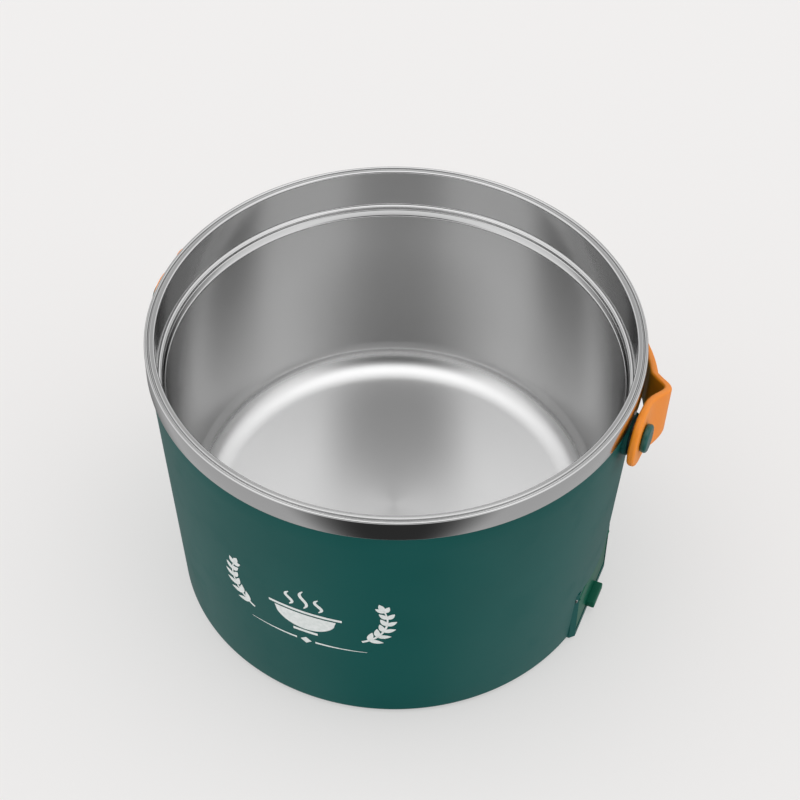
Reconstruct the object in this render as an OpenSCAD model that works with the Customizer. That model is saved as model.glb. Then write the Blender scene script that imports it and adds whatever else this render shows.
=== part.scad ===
// Heated lunch pot: steel pot in a plastic shell, with a folding carrying strap
// and a flap over the power inlet. Millimetres, +Z up, front towards -Y.
// The origin is the centre of the base, on the surface that the feet stand on.

/* [Pot] */
// outer radius of the steel rim
rim_r = 80; // [60:0.5:110]
// height of the rim's top
rim_top = 106; // [70:0.5:160]
// width of the rolled rim, from its outer edge to the collar
rim_w = 3.4; // [2:0.1:8]
// height of the steel skirt that hangs from the rim
skirt_h = 7.8; // [5:0.1:20]
// height of the straight collar that a lid sits in, from the rim's top
collar_h = 13.8; // [8:0.1:30]
// width of the shoulder under the collar
shoulder_w = 2.4; // [1:0.1:8]
// height of the shoulder
shoulder_h = 5.8; // [3:0.1:12]
// how far the wall comes in from the shoulder to the floor
wall_in = 4.6; // [0:0.1:12]
// height of the pot's floor
floor_z = 20; // [15:0.5:40]
// inside radius of the floor's round corner
corner_r = 11; // [4:0.5:20]
// thickness of the steel sheet
sheet = 0.6; // [0.4:0.1:1.2]

/* [Shell] */
// how far the shell comes in from its top lip to the table
shell_in = 5.8; // [0:0.1:12]
// room between the lip's top and the skirt's lower edge
lip_gap = 0.3; // [0.1:0.1:2]
// height of the lower edge over the table
edge_z = 1; // [0.5:0.1:4]
// wall thickness
wall = 1.8; // [1.2:0.1:3]
// radius of the rounded lower edge
edge_round = 1.5; // [0.5:0.1:1.6]

/* [Strap] */
// height from the strap's turning axis up to the rim's top
pivot_drop = 16; // [12:0.5:40]
// strap thickness
strap_t = 2.6; // [2:0.1:5]
// width at the round ears
ear_w = 19.6; // [12:0.2:30]
// width round the arch
arch_w = 15; // [8:0.5:18]
// room between the rim and the ears
ear_gap = 0.9; // [0.8:0.1:3]
// room between the rim and the arch, which lets the arch swing past
arch_gap = 2; // [1.9:0.1:6]
// how far the strap's bulge stands outside the ears
bulge = 3; // [1:0.1:6]
// how far the folded strap hangs below the level, as an angle
droop = 14; // [0:1:14]
// diameter of the pin's head
head_d = 9.4; // [6:0.1:14]
// thickness of the pin's head
head_t = 2; // [1:0.1:4]
// diameter of the pin's shank
shank_d = 5; // [3:0.1:8]

/* [Inlet] */
// width of the inlet's frame
bezel_w = 36; // [26:0.2:44]
// height of the frame's top
bezel_top = 24.2; // [20:0.2:30]
// depth of the frame
bezel_t = 4; // [3:0.1:6]
// width of the frame on each side of the window that the flap closes
frame_side = 1.8; // [1.6:0.1:5]
// lower edge of the window
window_z = 3.6; // [3:0.1:6]
// thickness of the flap
flap_t = 1.8; // [1.2:0.1:3]
// height of the flap's hinge axis
hinge_z = 21; // [18:0.1:26]
// diameter of the hinge pin
hinge_d = 1.6; // [1:0.1:3]
// width of the pull tab
tab_w = 9.8; // [5:0.2:20]
// how far the pull tab stands out
tab_out = 2.8; // [1:0.1:5]

/* [Heater] */
// radius of the heater plate
plate_r = 52; // [40:0.5:60]
// thickness of the heater plate
plate_t = 3.5; // [2:0.1:6]
// radius of the heating ring's centre line
ring_r = 38; // [28:0.5:46]
// radius of the heating tube
tube_r = 3; // [2:0.1:4]
// half of the gap in the ring, as an angle
ring_gap = 16; // [10:1:30]

/* [Hidden] */
$fn = 96;
eps = 0.01;
fine = 32;
steps = 6;

GREEN = [0.13, 0.30, 0.30];
ORANGE = [0.98, 0.57, 0.12];
STEEL = [0.72, 0.72, 0.72];
ALLOY = [0.80, 0.81, 0.82];
BLACK = [0.10, 0.10, 0.11];
RUBBER = [0.16, 0.17, 0.17];
CERAMIC = [0.92, 0.90, 0.85];
FELT = [0.85, 0.84, 0.80];
BRASS = [0.80, 0.65, 0.30];
RED = [0.70, 0.12, 0.10];
BLUE = [0.10, 0.22, 0.55];
YELLOW_GREEN = [0.55, 0.70, 0.15];

// the pot's levels, all from the rim
collar_r = rim_r - rim_w;
skirt_z = rim_top - skirt_h;
collar_z = rim_top - collar_h;
wall_top_r = collar_r - shoulder_w;
wall_top_z = collar_z - shoulder_h;
wall_floor_r = wall_top_r - wall_in;
hem_t = 0.8;
rim_under = 2.6;

// the shell hangs on the pot's rim
lip_r = rim_r - hem_t;
lip_z = skirt_z - lip_gap;
base_r = lip_r - shell_in;
pivot_z = rim_top - pivot_drop;

pot_wall_slope = (wall_top_r - wall_floor_r) / (wall_top_z - floor_z);
function pot_r(z) = wall_floor_r + pot_wall_slope * (z - floor_z);
function shell_r(z) = base_r + (lip_r - base_r) * z / lip_z;
corner_x = pot_r(floor_z + corner_r) - corner_r;
corner_z = floor_z + corner_r;

// the sheet's groove and beads on top of the rim
bead_r = 0.8;
land_in = 1.65;
land_drop = 0.25;
groove_in = 1.35;
groove_drop = 1;
edge_drop = 0.15;
outer_round = 0.55;

// heights of the parts under the pot
plate_top = floor_z - sheet;
plate_z = plate_top - plate_t;
tube_sink = 0.7;
ring_z = plate_z - tube_r + tube_sink;
cover_z = 1.6;
cover_t = 2;
cover_top = cover_z + cover_t;
shield_z = 7;
shield_t = 0.6;
shield_r = plate_r - 3.5;
bracket_z = 10.8;
bracket_t = 0.8;
stud_y = 24;
stud_d = 4;
stud_sink = 1;
stud_foot = 4.9;
nut_flats = 7;
nut_t = 1.8;
cap_r = 8.5;
flange_r = 10.5;
body_r = 7;
body_z = 8.2;
flange_z = bracket_z + bracket_t;

// screws and feet of the base cover
screw_r = base_r - 11.4;
screw_d = 2.9;
screw_head_d = 5.6;
screw_boss_d = 8;
screw_boss_top = 14;
pad_top = 5.6;
cover_r = base_r - 2.6;
foot_r = base_r - 17.4;
foot_d = 12;
foot_stem_d = 5;

// the pins of the strap
boss_x = rim_r;
boss_d = 14;
washer_t = 0.5;
washer_d = 12;
bore_gap = 0.08;
face_gap = 0.3;
ear_x = rim_r + ear_gap;
head_x = ear_x + strap_t + face_gap;
shank_x = collar_r + sheet + face_gap;

// the frame and the socket behind the flap
bezel_x = base_r;
bezel_back = bezel_x - bezel_t;
face_in = 0.2;
hinge_x = bezel_x - face_in - flap_t / 2;
socket_back = plate_r + 2;
socket_w = 27.2;
socket_z = 4;
socket_top = 19.2;
well_back = socket_back + 2.4;
well_w = 24;
well_z = 5.4;
well_top = 17.8;
blade = [bezel_back - well_back - 1, 4, 2];
blade_pitch = 7;
blade_rise = 2;
flap_gap = 0.3;
knuckle_r = 1.4;
window_w = bezel_w - 2 * frame_side;
cheek = frame_side - 0.5;

// the fuse and the leads
fuse_x = 20;
fuse_y = 5.5;
fuse_r = 2;
fuse_z = plate_z - fuse_r - eps;
lead_r = 0.5;
lead_y = 9;
tail_x = plate_r - 6;
tail_r = 1.5;
tail_y = ring_r * sin(ring_gap + 4);
spade_x = 13;
spade_y = 4;
spade_t = 0.8;
spade_w = 3;
spade_z = body_z + 1.2;
wire_r = 1;
bend = 3;
earth_x = 12;
earth_z = 9.4;
earth_top = flange_z + 1.6 * wire_r;

function arc(cx, cz, r, from, to, n = steps) =
    [for (i = [0:n]) let (a = from + (to - from) * i / n) [cx + r * cos(a), cz + r * sin(a)]];

module rod(a, b, r) {
    d = b - a;
    translate(a)
        rotate([0, atan2(norm([d[0], d[1]]), d[2]), atan2(d[1], d[0])])
            cylinder(h = norm(d), r = r, $fn = fine);
}

function unit(v) = v / norm(v);

// a ball on a bend, turned so that its seam and poles miss both wires
module elbow(before, bend_at, after, r) {
    u = unit(before - bend_at);
    v = unit(after - bend_at);
    x = -unit(u + v);
    z = unit(cross(u, v));
    y = cross(z, x);
    multmatrix([for (i = [0:2]) [x[i], y[i], z[i], bend_at[i]]])
        sphere(r = 1.2 * r, $fn = fine);
}

module wire(points, r) {
    for (i = [0:len(points) - 2])
        rod(points[i], points[i + 1], r);
    for (i = [1:1:len(points) - 2])
        elbow(points[i - 1], points[i], points[i + 1], r);
}

module ring_solid(r_in, r_out, z, h) {
    translate([0, 0, z])
        difference() {
            cylinder(h = h, r = r_out);
            translate([0, 0, -eps]) cylinder(h = h + 2 * eps, r = r_in);
        }
}

module at_screws() {
    for (a = [45:90:315])
        rotate([0, 0, a]) translate([screw_r, 0, 0]) children();
}

module at_studs() {
    for (side = [-1, 1])
        translate([0, side * stud_y, 0]) children();
}

// a box given by its low and high corners
module span(low, high) {
    translate(low) cube(high - low);
}

// the plastic shell, open below, with the pin bosses and screw posts
module shell_profile() {
    lip_round = 0.5;
    collar_room = collar_r + sheet + face_gap;
    polygon(concat(
        [[shell_r(edge_z) - wall, edge_z]],
        arc(shell_r(edge_z + edge_round) - edge_round, edge_z + edge_round, edge_round, -90, 0),
        arc(lip_r - lip_round, lip_z - lip_round, lip_round, 0, 90, 3),
        [[collar_room, lip_z], [collar_room, collar_z - shoulder_h / 2],
         [shell_r(wall_top_z) - wall, wall_top_z - 1]]));
}

module pin_boss() {
    intersection() {
        translate([lip_r - 1, 0, pivot_z])
            rotate([0, 90, 0]) cylinder(h = boss_x - lip_r + 1, d = boss_d);
        cylinder(h = skirt_z - face_gap, r = rim_r + wall);
    }
}

module screw_post() {
    cover_gap = 0.2;
    span([-1, -1, pad_top + cover_gap], [shell_r(pad_top) - wall / 2 - screw_r, 1, screw_boss_top]);
    translate([0, 0, pad_top + cover_gap])
        cylinder(h = screw_boss_top - pad_top - cover_gap, d = screw_boss_d);
}

module outer_shell() {
    color(GREEN)
        difference() {
            union() {
                rotate_extrude() shell_profile();
                pin_boss();
                mirror([1, 0, 0]) pin_boss();
                at_screws() screw_post();
            }
            for (side = [-1, 1])
                translate([side * lip_r, 0, pivot_z])
                    rotate([0, 90, 0]) cylinder(h = 6 * wall, d = shank_d, center = true);
            at_screws() translate([0, 0, pad_top - 1]) cylinder(h = screw_boss_top - pad_top, d = screw_d);
            span([bezel_back - 2, -bezel_w / 2 - 0.1, -1], [rim_r, bezel_w / 2 + 0.1, bezel_top + 0.1]);
        }
}

// the drawn pot: floor, round corner, wall, shoulder, collar and rolled rim
module pot_profile() {
    out_r = corner_r + sheet;
    rim_x = collar_r + bead_r;
    polygon(concat(
        [[0, floor_z - sheet], [corner_x, floor_z - sheet]],
        arc(corner_x, corner_z, out_r, -84, -6, 9),
        [[wall_top_r + sheet - 0.15, wall_top_z - 1.8],
         [wall_top_r + sheet, wall_top_z - 0.9],
         [wall_top_r + sheet + 0.3, wall_top_z - 0.3],
         [collar_r + sheet - 0.25, collar_z - 1.9],
         [collar_r + sheet, collar_z - 0.8],
         [collar_r + sheet, rim_top - rim_under],
         [lip_r, rim_top - rim_under],
         [lip_r, skirt_z],
         [rim_r, skirt_z]],
        arc(rim_r - outer_round, rim_top - edge_drop - outer_round, outer_round, 0, 160),
        [[rim_r - groove_in, rim_top - groove_drop], [rim_r - land_in, rim_top - land_drop]],
        arc(rim_x, rim_top - bead_r, bead_r, 70, 180),
        [[collar_r, collar_z],
         [collar_r - 0.2, collar_z - 1],
         [collar_r - 0.6, collar_z - 1.9],
         [wall_top_r + 0.5, wall_top_z + 1],
         [wall_top_r + 0.12, wall_top_z + 0.3],
         [wall_top_r - 0.1, wall_top_z - 0.8]],
        arc(corner_x, corner_z, corner_r, -4, -86, 9),
        [[corner_x, floor_z], [0, floor_z]]));
}

module inner_pot() {
    color(STEEL) rotate_extrude() pot_profile();
}

module rim_seal() {
    color(RUBBER)
        ring_solid(collar_r + sheet, lip_r, lip_z, rim_top - rim_under - lip_z);
}

// head outside the strap, shank through it and into the shell
module pivot_pin() {
    dome = 0.7;
    color(GREEN)
        rotate([0, 90, 0])
            rotate_extrude(convexity = 2)
                polygon(concat(
                    [[0, shank_x], [shank_d / 2, shank_x], [shank_d / 2, head_x], [head_d / 2, head_x]],
                    [[head_d / 2, head_x + head_t - dome]],
                    arc(head_d / 2 - 1.6, head_x + head_t - 1.6, 1.6, 30, 75, 3),
                    [[0, head_x + head_t]]));
}

module pivot_pin_right() {
    translate([0, 0, pivot_z]) pivot_pin();
}

module pivot_pin_left() {
    translate([0, 0, pivot_z]) mirror([1, 0, 0]) pivot_pin();
}

module pivot_washer() {
    color(BLACK)
        translate([boss_x, 0, pivot_z])
            rotate([0, 90, 0]) ring_solid(shank_d / 2, washer_d / 2, 0, washer_t);
}

module pivot_washer_right() {
    pivot_washer();
}

module pivot_washer_left() {
    mirror([1, 0, 0]) pivot_washer();
}

// the strap, folded back: round flat ears, a bulge, then an arch round the pot's back
arch_r = rim_r + arch_gap;
arch_out = arch_r + strap_t;
arch_start = 19;
weld = 0.15;
crest_y = 18.5;
crest_r = 7;
crest_turn = 45;
jog_y = 5;

module strap_side_plan() {
    overlap = 4;
    outer = arch_out - weld;
    inner = arch_r + weld;
    ear_out = ear_x + strap_t;
    crest_x = ear_out + bulge - crest_r;
    polygon(concat(
        [[ear_x, -ear_w], [ear_out, -ear_w], [ear_out, jog_y], [ear_out + 0.5, jog_y + 3.5],
         [ear_out + bulge - 0.5, crest_y - 3.5]],
        arc(crest_x, crest_y, crest_r, -8, crest_turn, 5),
        arc(0, 0, outer, arch_start, arch_start + overlap, 1),
        arc(0, 0, inner, arch_start + overlap, arch_start, 1),
        arc(crest_x, crest_y, crest_r - strap_t, crest_turn, -8, 3),
        [[ear_x + 0.6, jog_y + 4.5], [ear_x, jog_y + 2]]));
}

module strap_side_shape() {
    taper_from = jog_y + 3;
    taper_to = arch_r * sin(arch_start) - 0.5;
    narrow = arch_w / 2 - weld;
    circle(d = ear_w);
    translate([0, -ear_w / 2]) square([taper_from, ear_w]);
    polygon([[taper_from, -ear_w / 2], [taper_to, -narrow], [rim_r, -narrow],
        [rim_r, narrow], [taper_to, narrow], [taper_from, ear_w / 2]]);
}

module strap_side() {
    difference() {
        intersection() {
            translate([0, 0, -ear_w]) linear_extrude(height = 2 * ear_w) strap_side_plan();
            rotate([90, 0, 90]) linear_extrude(height = 2 * rim_r) strap_side_shape();
        }
        rotate([0, 90, 0]) cylinder(h = 2 * rim_r, r = shank_d / 2 + bore_gap);
    }
}

module strap_handle() {
    color(ORANGE)
        translate([0, 0, pivot_z])
            rotate([-droop, 0, 0]) {
                strap_side();
                mirror([1, 0, 0]) strap_side();
                rotate([0, 0, arch_start])
                    rotate_extrude(angle = 180 - 2 * arch_start, $fn = 2 * $fn)
                        translate([arch_r, -arch_w / 2]) square([strap_t, arch_w]);
            }
}

// felt sleeve between the pot and the shell
module insulation_sleeve() {
    sleeve_low = floor_z + 14;
    sleeve_high = wall_top_z - 3.4;
    sleeve_t = 1.2;
    gap = 0.35 + sheet;
    color(FELT)
        rotate_extrude()
            polygon([[pot_r(sleeve_low) + gap, sleeve_low],
                [pot_r(sleeve_low) + gap + sleeve_t, sleeve_low],
                [pot_r(sleeve_high) + gap + sleeve_t, sleeve_high],
                [pot_r(sleeve_high) + gap, sleeve_high]]);
}

module heater_plate() {
    color(ALLOY)
        difference() {
            translate([0, 0, plate_z]) cylinder(h = plate_t, r = plate_r);
            translate([0, 0, ring_z])
                rotate_extrude() translate([ring_r, 0]) circle(r = tube_r, $fn = fine);
            at_studs() translate([0, 0, plate_z - 1]) cylinder(h = stud_sink + 1, d = stud_d);
            for (side = [-1, 1])
                rod([ring_r - 2, side * tail_y, ring_z], [plate_r + 1, side * tail_y, ring_z], tube_r);
        }
}

// the sheathed tube, open towards the inlet, with two cold ends
module heating_ring() {
    color(STEEL) {
        rotate([0, 0, ring_gap])
            translate([0, 0, ring_z])
                rotate_extrude(angle = 360 - 2 * ring_gap)
                    translate([ring_r, 0]) circle(r = tube_r, $fn = fine);
        for (side = [-1, 1])
            rod([ring_r * cos(ring_gap + 4), side * tail_y, ring_z],
                [tail_x, side * tail_y, ring_z], tail_r);
    }
}

module thermostat() {
    color(CERAMIC) {
        translate([0, 0, flange_z + bracket_t]) cylinder(h = plate_z - flange_z - bracket_t, r = cap_r);
        translate([0, 0, flange_z]) cylinder(h = bracket_t, r = flange_r);
        translate([0, 0, body_z]) cylinder(h = flange_z - body_z, r = body_r);
        for (side = [-1, 1])
            span([0, side * spade_y - spade_w / 2, spade_z - spade_t / 2],
                [spade_x, side * spade_y + spade_w / 2, spade_z + spade_t / 2]);
    }
}

module thermostat_bracket() {
    half_w = 9.5;
    color(STEEL)
        difference() {
            span([-half_w, -stud_y - 6, bracket_z], [half_w, stud_y + 6, bracket_z + bracket_t]);
            translate([0, 0, bracket_z - 1]) cylinder(h = 3, r = body_r + 0.2);
            at_studs() translate([0, 0, bracket_z - 1]) cylinder(h = 3, d = stud_d + 0.2);
        }
}

module plate_studs() {
    color(STEEL)
        at_studs() translate([0, 0, stud_foot]) cylinder(h = plate_z + stud_sink - stud_foot, d = stud_d);
}

module nut(z) {
    color(STEEL)
        at_studs()
            difference() {
                translate([0, 0, z]) cylinder(h = nut_t, d = nut_flats / cos(30), $fn = 6);
                translate([0, 0, z - 1]) cylinder(h = nut_t + 2, d = stud_d);
            }
}

module bracket_nuts() {
    nut(bracket_z - nut_t);
}

module shield_nuts() {
    nut(shield_z - nut_t);
}

module thermal_fuse() {
    color(BRASS) {
        rod([fuse_x, -fuse_y, fuse_z], [fuse_x, fuse_y, fuse_z], fuse_r);
        rod([fuse_x, -lead_y, fuse_z], [fuse_x, lead_y, fuse_z], lead_r);
    }
}

module heat_shield() {
    color(ALLOY)
        difference() {
            union() {
                translate([0, 0, shield_z]) cylinder(h = shield_t, r = shield_r);
                ring_solid(shield_r - shield_t, shield_r, shield_z, 1.5);
            }
            at_studs() translate([0, 0, shield_z - 1]) cylinder(h = 3, d = stud_d + 0.2);
        }
}

module power_inlet() {
    color(BLACK)
        difference() {
            span([socket_back, -socket_w / 2, socket_z], [bezel_back, socket_w / 2, socket_top]);
            span([well_back, -well_w / 2, well_z], [bezel_back + 1, well_w / 2, well_top]);
        }
}

// three flat blades, the middle one raised
module socket_pins() {
    mid_z = (well_z + well_top) / 2;
    color(BRASS)
        for (i = [-1:1])
            translate([well_back - 0.01, i * blade_pitch - blade[2] / 2,
                    mid_z - blade[1] / 2 + (i == 0 ? blade_rise : -blade_rise)])
                cube([blade[0], blade[2], blade[1]]);
}

module inlet_bezel() {
    chamfer = 1.6;
    color(GREEN)
        difference() {
            translate([0, 0, edge_z + 0.2])
                linear_extrude(height = bezel_top - edge_z - 0.2)
                    polygon([[bezel_back, -bezel_w / 2], [bezel_x - chamfer, -bezel_w / 2],
                        [bezel_x, -bezel_w / 2 + chamfer], [bezel_x, bezel_w / 2 - chamfer],
                        [bezel_x - chamfer, bezel_w / 2], [bezel_back, bezel_w / 2]]);
            span([bezel_back - 1, -window_w / 2, window_z],
                [bezel_x + 1, window_w / 2, hinge_z + knuckle_r + flap_gap]);
            translate([hinge_x, 0, hinge_z])
                rotate([90, 0, 0])
                    cylinder(h = window_w + 2 * cheek, d = hinge_d, center = true, $fn = fine);
        }
}

// the flap hangs from its knuckle and has a pull tab at its lower edge
module inlet_flap() {
    half_w = window_w / 2 - flap_gap;
    low = window_z + flap_gap;
    face = bezel_x - face_in;
    tab_h = 2.8;
    color(GREEN)
        difference() {
            union() {
                span([face - flap_t, -half_w, low], [face, half_w, hinge_z]);
                translate([hinge_x, 0, hinge_z])
                    rotate([90, 0, 0]) cylinder(h = 2 * half_w, r = knuckle_r, center = true, $fn = fine);
                span([face - 0.1, -tab_w / 2, low], [bezel_x + tab_out, tab_w / 2, low + tab_h]);
            }
            translate([hinge_x, 0, hinge_z])
                rotate([90, 0, 0])
                    cylinder(h = window_w, d = hinge_d + 2 * bore_gap, center = true, $fn = fine);
        }
}

module flap_hinge_pin() {
    color(STEEL)
        translate([hinge_x, 0, hinge_z])
            rotate([90, 0, 0])
                cylinder(h = window_w + 2 * cheek - 0.4, d = hinge_d, center = true, $fn = fine);
}

module base_cover() {
    vent_r = 34;
    notch_gap = 0.4;
    color(BLACK)
        difference() {
            union() {
                translate([0, 0, cover_z]) cylinder(h = cover_t, r = cover_r);
                at_screws() translate([0, 0, cover_z]) cylinder(h = pad_top - cover_z, d = 10);
            }
            at_screws() {
                translate([0, 0, cover_z - 1]) cylinder(h = cover_t + 1, d = screw_head_d + 0.6);
                cylinder(h = 3 * cover_t, d = screw_d + 0.3);
            }
            for (a = [0:90:270])
                rotate([0, 0, a]) translate([foot_r, 0, 0]) cylinder(h = 3 * cover_t, d = foot_stem_d);
            cylinder(h = 3 * cover_t, d = foot_stem_d);
            for (a = [15:30:345])
                rotate([0, 0, a]) translate([vent_r, 0, 0]) cylinder(h = 3 * cover_t, d = 3, $fn = fine);
            span([bezel_back - notch_gap, -bezel_w / 2 - notch_gap, 0],
                [rim_r, bezel_w / 2 + notch_gap, pad_top]);
        }
}

module base_screws() {
    color(STEEL)
        at_screws() {
            translate([0, 0, cover_z + 0.2]) cylinder(h = cover_t - 0.2, d = screw_head_d);
            translate([0, 0, cover_top - 0.2]) cylinder(h = 8, d = screw_d);
        }
}

module foot(angle, out = foot_r) {
    color(RUBBER)
        rotate([0, 0, angle])
            translate([out, 0, 0]) {
                cylinder(h = cover_z, d = foot_d);
                cylinder(h = cover_top, d = foot_stem_d);
            }
}

module foot_right() {
    foot(0);
}

module foot_rear() {
    foot(90);
}

module foot_left() {
    foot(180);
}

module foot_front() {
    foot(270);
}

module foot_middle() {
    foot(0, 0);
}

// from the socket through the ring's gap to the fuse
module wire_live() {
    color(RED)
        wire([[socket_back, blade_pitch, fuse_z], [fuse_x + 2 * bend, blade_pitch, fuse_z],
            [fuse_x + bend, lead_y + bend, fuse_z], [fuse_x, lead_y + bend, fuse_z],
            [fuse_x, lead_y, fuse_z]], wire_r);
}

// from the fuse down to the thermostat
module wire_link() {
    color(RED)
        wire([[fuse_x, -lead_y, fuse_z], [fuse_x, -lead_y - bend, fuse_z],
            [fuse_x, -lead_y - bend, spade_z], [spade_x + bend, -spade_y, spade_z],
            [spade_x, -spade_y, spade_z]], wire_r);
}

// from the thermostat to one end of the heating ring
module wire_return() {
    color(RED)
        wire([[spade_x, spade_y, spade_z], [spade_x + bend, spade_y, spade_z],
            [tail_x - 2 * bend, tail_y, spade_z], [tail_x - 2, tail_y, spade_z],
            [tail_x - 2, tail_y, ring_z - tail_r]], wire_r);
}

// from the other end of the ring straight to the socket
module wire_neutral() {
    color(BLUE)
        rod([tail_x, -tail_y, ring_z], [socket_back, -tail_y, ring_z], wire_r);
}

// from the socket to the bracket's stud
module wire_earth() {
    color(YELLOW_GREEN)
        wire([[socket_back, 0, earth_z], [socket_back - bend, 0, earth_z],
            [earth_x + 5 * bend, bend - stud_y, earth_z], [earth_x, -stud_y, earth_z],
            [earth_x, -stud_y, earth_top], [stud_d / 2, -stud_y, earth_top]], wire_r);
}

outer_shell();
inner_pot();
rim_seal();
pivot_pin_right();
pivot_pin_left();
pivot_washer_right();
pivot_washer_left();
strap_handle();
insulation_sleeve();
heater_plate();
heating_ring();
thermostat();
thermostat_bracket();
plate_studs();
bracket_nuts();
shield_nuts();
thermal_fuse();
heat_shield();
power_inlet();
socket_pins();
inlet_bezel();
inlet_flap();
flap_hinge_pin();
base_cover();
base_screws();
foot_front();
foot_rear();
foot_right();
foot_left();
foot_middle();
wire_live();
wire_link();
wire_return();
wire_neutral();
wire_earth();
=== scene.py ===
"""Looks of a heated lunch pot: stepped steel pot, teal plastic shell and orange carrying strap."""

from __future__ import annotations

import logging
import math
from dataclasses import dataclass, field
from enum import Enum
from typing import Callable, Iterable, Sequence

import bmesh
import bpy
from mathutils import Matrix, Vector

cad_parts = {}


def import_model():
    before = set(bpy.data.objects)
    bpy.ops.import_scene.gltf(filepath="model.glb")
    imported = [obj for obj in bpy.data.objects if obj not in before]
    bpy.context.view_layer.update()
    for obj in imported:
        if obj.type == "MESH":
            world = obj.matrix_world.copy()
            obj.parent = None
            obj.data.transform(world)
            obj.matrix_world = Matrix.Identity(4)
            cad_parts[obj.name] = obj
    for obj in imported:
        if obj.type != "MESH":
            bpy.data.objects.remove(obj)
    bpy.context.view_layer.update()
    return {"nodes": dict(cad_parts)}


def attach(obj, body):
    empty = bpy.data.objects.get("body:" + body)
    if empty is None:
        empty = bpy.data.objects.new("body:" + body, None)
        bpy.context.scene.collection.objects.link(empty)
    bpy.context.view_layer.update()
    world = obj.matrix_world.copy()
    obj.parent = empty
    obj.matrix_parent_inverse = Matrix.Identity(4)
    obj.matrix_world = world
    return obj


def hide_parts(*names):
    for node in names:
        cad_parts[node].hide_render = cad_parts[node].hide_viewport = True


LOG = logging.getLogger("lunch_pot")
MM = 0.001
MERGE = 1e-7
SLIVER = 1e-8
BEVEL_STEPS = 3
Point = tuple[float, float]
Span = tuple[float, float]
Colour = tuple[float, float, float]
Width = Callable[[float], float]
Placer = Callable[[float, float], Vector]


class Side(Enum):
    """The two ends of the strap's turning axis."""

    RIGHT = 1
    LEFT = -1


# ---------------------------------------------------------------- small helpers


def linear(red: float, green: float, blue: float) -> Colour:
    """Turns a display colour, 0 to 255, into scene-linear values."""

    def channel(value: float) -> float:
        """One channel of the colour."""
        share = value / 255
        return share / 12.92 if share <= 0.04045 else ((share + 0.055) / 1.055) ** 2.4

    return channel(red), channel(green), channel(blue)


def arc(centre: Point, radius: float, start: float, end: float, steps: int) -> list[Point]:
    """Points on a circular arc.

    Args:
        centre: The arc's centre.
        radius: The arc's radius.
        start: First angle, in degrees.
        end: Last angle, in degrees.
        steps: Number of straight pieces.

    Returns:
        The arc's points, both ends included.
    """
    angles = [math.radians(start + (end - start) * i / steps) for i in range(steps + 1)]
    return [(centre[0] + radius * math.cos(a), centre[1] + radius * math.sin(a)) for a in angles]


def straight(start: Point, end: Point, steps: int) -> list[Point]:
    """Points on a straight line, both ends included."""
    reach = (end[0] - start[0], end[1] - start[1])
    return [(start[0] + reach[0] * i / steps, start[1] + reach[1] * i / steps) for i in range(steps + 1)]


def direction(line: Sequence[Point], index: int) -> Vector:
    """Direction of a line at one of its points, taken from the points beside it."""
    before, after = line[max(index - 1, 0)], line[min(index + 1, len(line) - 1)]
    return Vector((after[0] - before[0], after[1] - before[1])).normalized()


def smooth_step(value: float) -> float:
    """A soft ramp from 0 to 1, flat at both ends."""
    share = min(max(value, 0.0), 1.0)
    return share * share * (3 - 2 * share)


def pin_axis(side: Side, height: float) -> Matrix:
    """Turns what was spun round Z so that it points outwards along X, at a height in millimetres."""
    turn = Matrix.Rotation(side.value * math.pi / 2, 4, "Y")
    return Matrix.Translation((0, 0, height * MM)) @ turn


# ---------------------------------------------------------------- shader maths


class Signal:
    """A number socket that can be used in Python expressions."""

    def __init__(self, bench: "Bench", socket: bpy.types.NodeSocket) -> None:
        """Keeps the node tree's bench and the socket."""
        self.bench = bench
        self.socket = socket

    def _math(self, operation: str, first: "Signal | float", second: "Signal | float") -> "Signal":
        """Adds one Math node and returns its result."""
        return self.bench.value("ShaderNodeMath", {"operation": operation}, {0: first, 1: second})

    def __add__(self, other: "Signal | float") -> "Signal":
        """Sum."""
        return self._math("ADD", self, other)

    def __sub__(self, other: "Signal | float") -> "Signal":
        """Difference."""
        return self._math("SUBTRACT", self, other)

    def __rsub__(self, other: float) -> "Signal":
        """Reflected difference."""
        return self._math("SUBTRACT", other, self)

    def __mul__(self, other: "Signal | float") -> "Signal":
        """Product."""
        return self._math("MULTIPLY", self, other)

    def __pow__(self, other: float) -> "Signal":
        """Power."""
        return self._math("POWER", self, other)

    def stretch(self, low: float, high: float, to_low: float, to_high: float) -> "Signal":
        """Maps a range onto another one, softly and clamped."""
        return self.bench.value(
            "ShaderNodeMapRange",
            {"interpolation_type": "SMOOTHSTEP"},
            {0: self, 1: low, 2: high, 3: to_low, 4: to_high},
        )


class Bench:
    """A node tree, with the calls that fill it."""

    def __init__(self, tree: bpy.types.NodeTree) -> None:
        """Empties the tree."""
        self.tree = tree
        self.tree.nodes.clear()

    def node(self, kind: str, settings: dict | None = None, inputs: dict | None = None) -> bpy.types.Node:
        """Adds a node.

        Args:
            kind: The node's type.
            settings: Properties that are set first.
            inputs: Values, sockets or signals of its inputs, by name or number.

        Returns:
            The new node.
        """
        new = self.tree.nodes.new(kind)
        for key, value in (settings or {}).items():
            setattr(new, key, value)
        for key, value in (inputs or {}).items():
            self.feed(new.inputs[key], value)
        return new

    def value(
        self, kind: str, settings: dict | None = None, inputs: dict | None = None, out: int | str = 0
    ) -> Signal:
        """Adds a node and returns one of its outputs as a signal."""
        return Signal(self, self.node(kind, settings, inputs).outputs[out])

    def feed(self, socket: bpy.types.NodeSocket, value: object) -> None:
        """Links a signal or a socket, or sets a plain value."""
        if isinstance(value, Signal):
            self.tree.links.new(value.socket, socket)
        elif isinstance(value, bpy.types.NodeSocket):
            self.tree.links.new(value, socket)
        elif socket.type == "RGBA":
            socket.default_value = (*value, 1.0)
        else:
            socket.default_value = value


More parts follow.
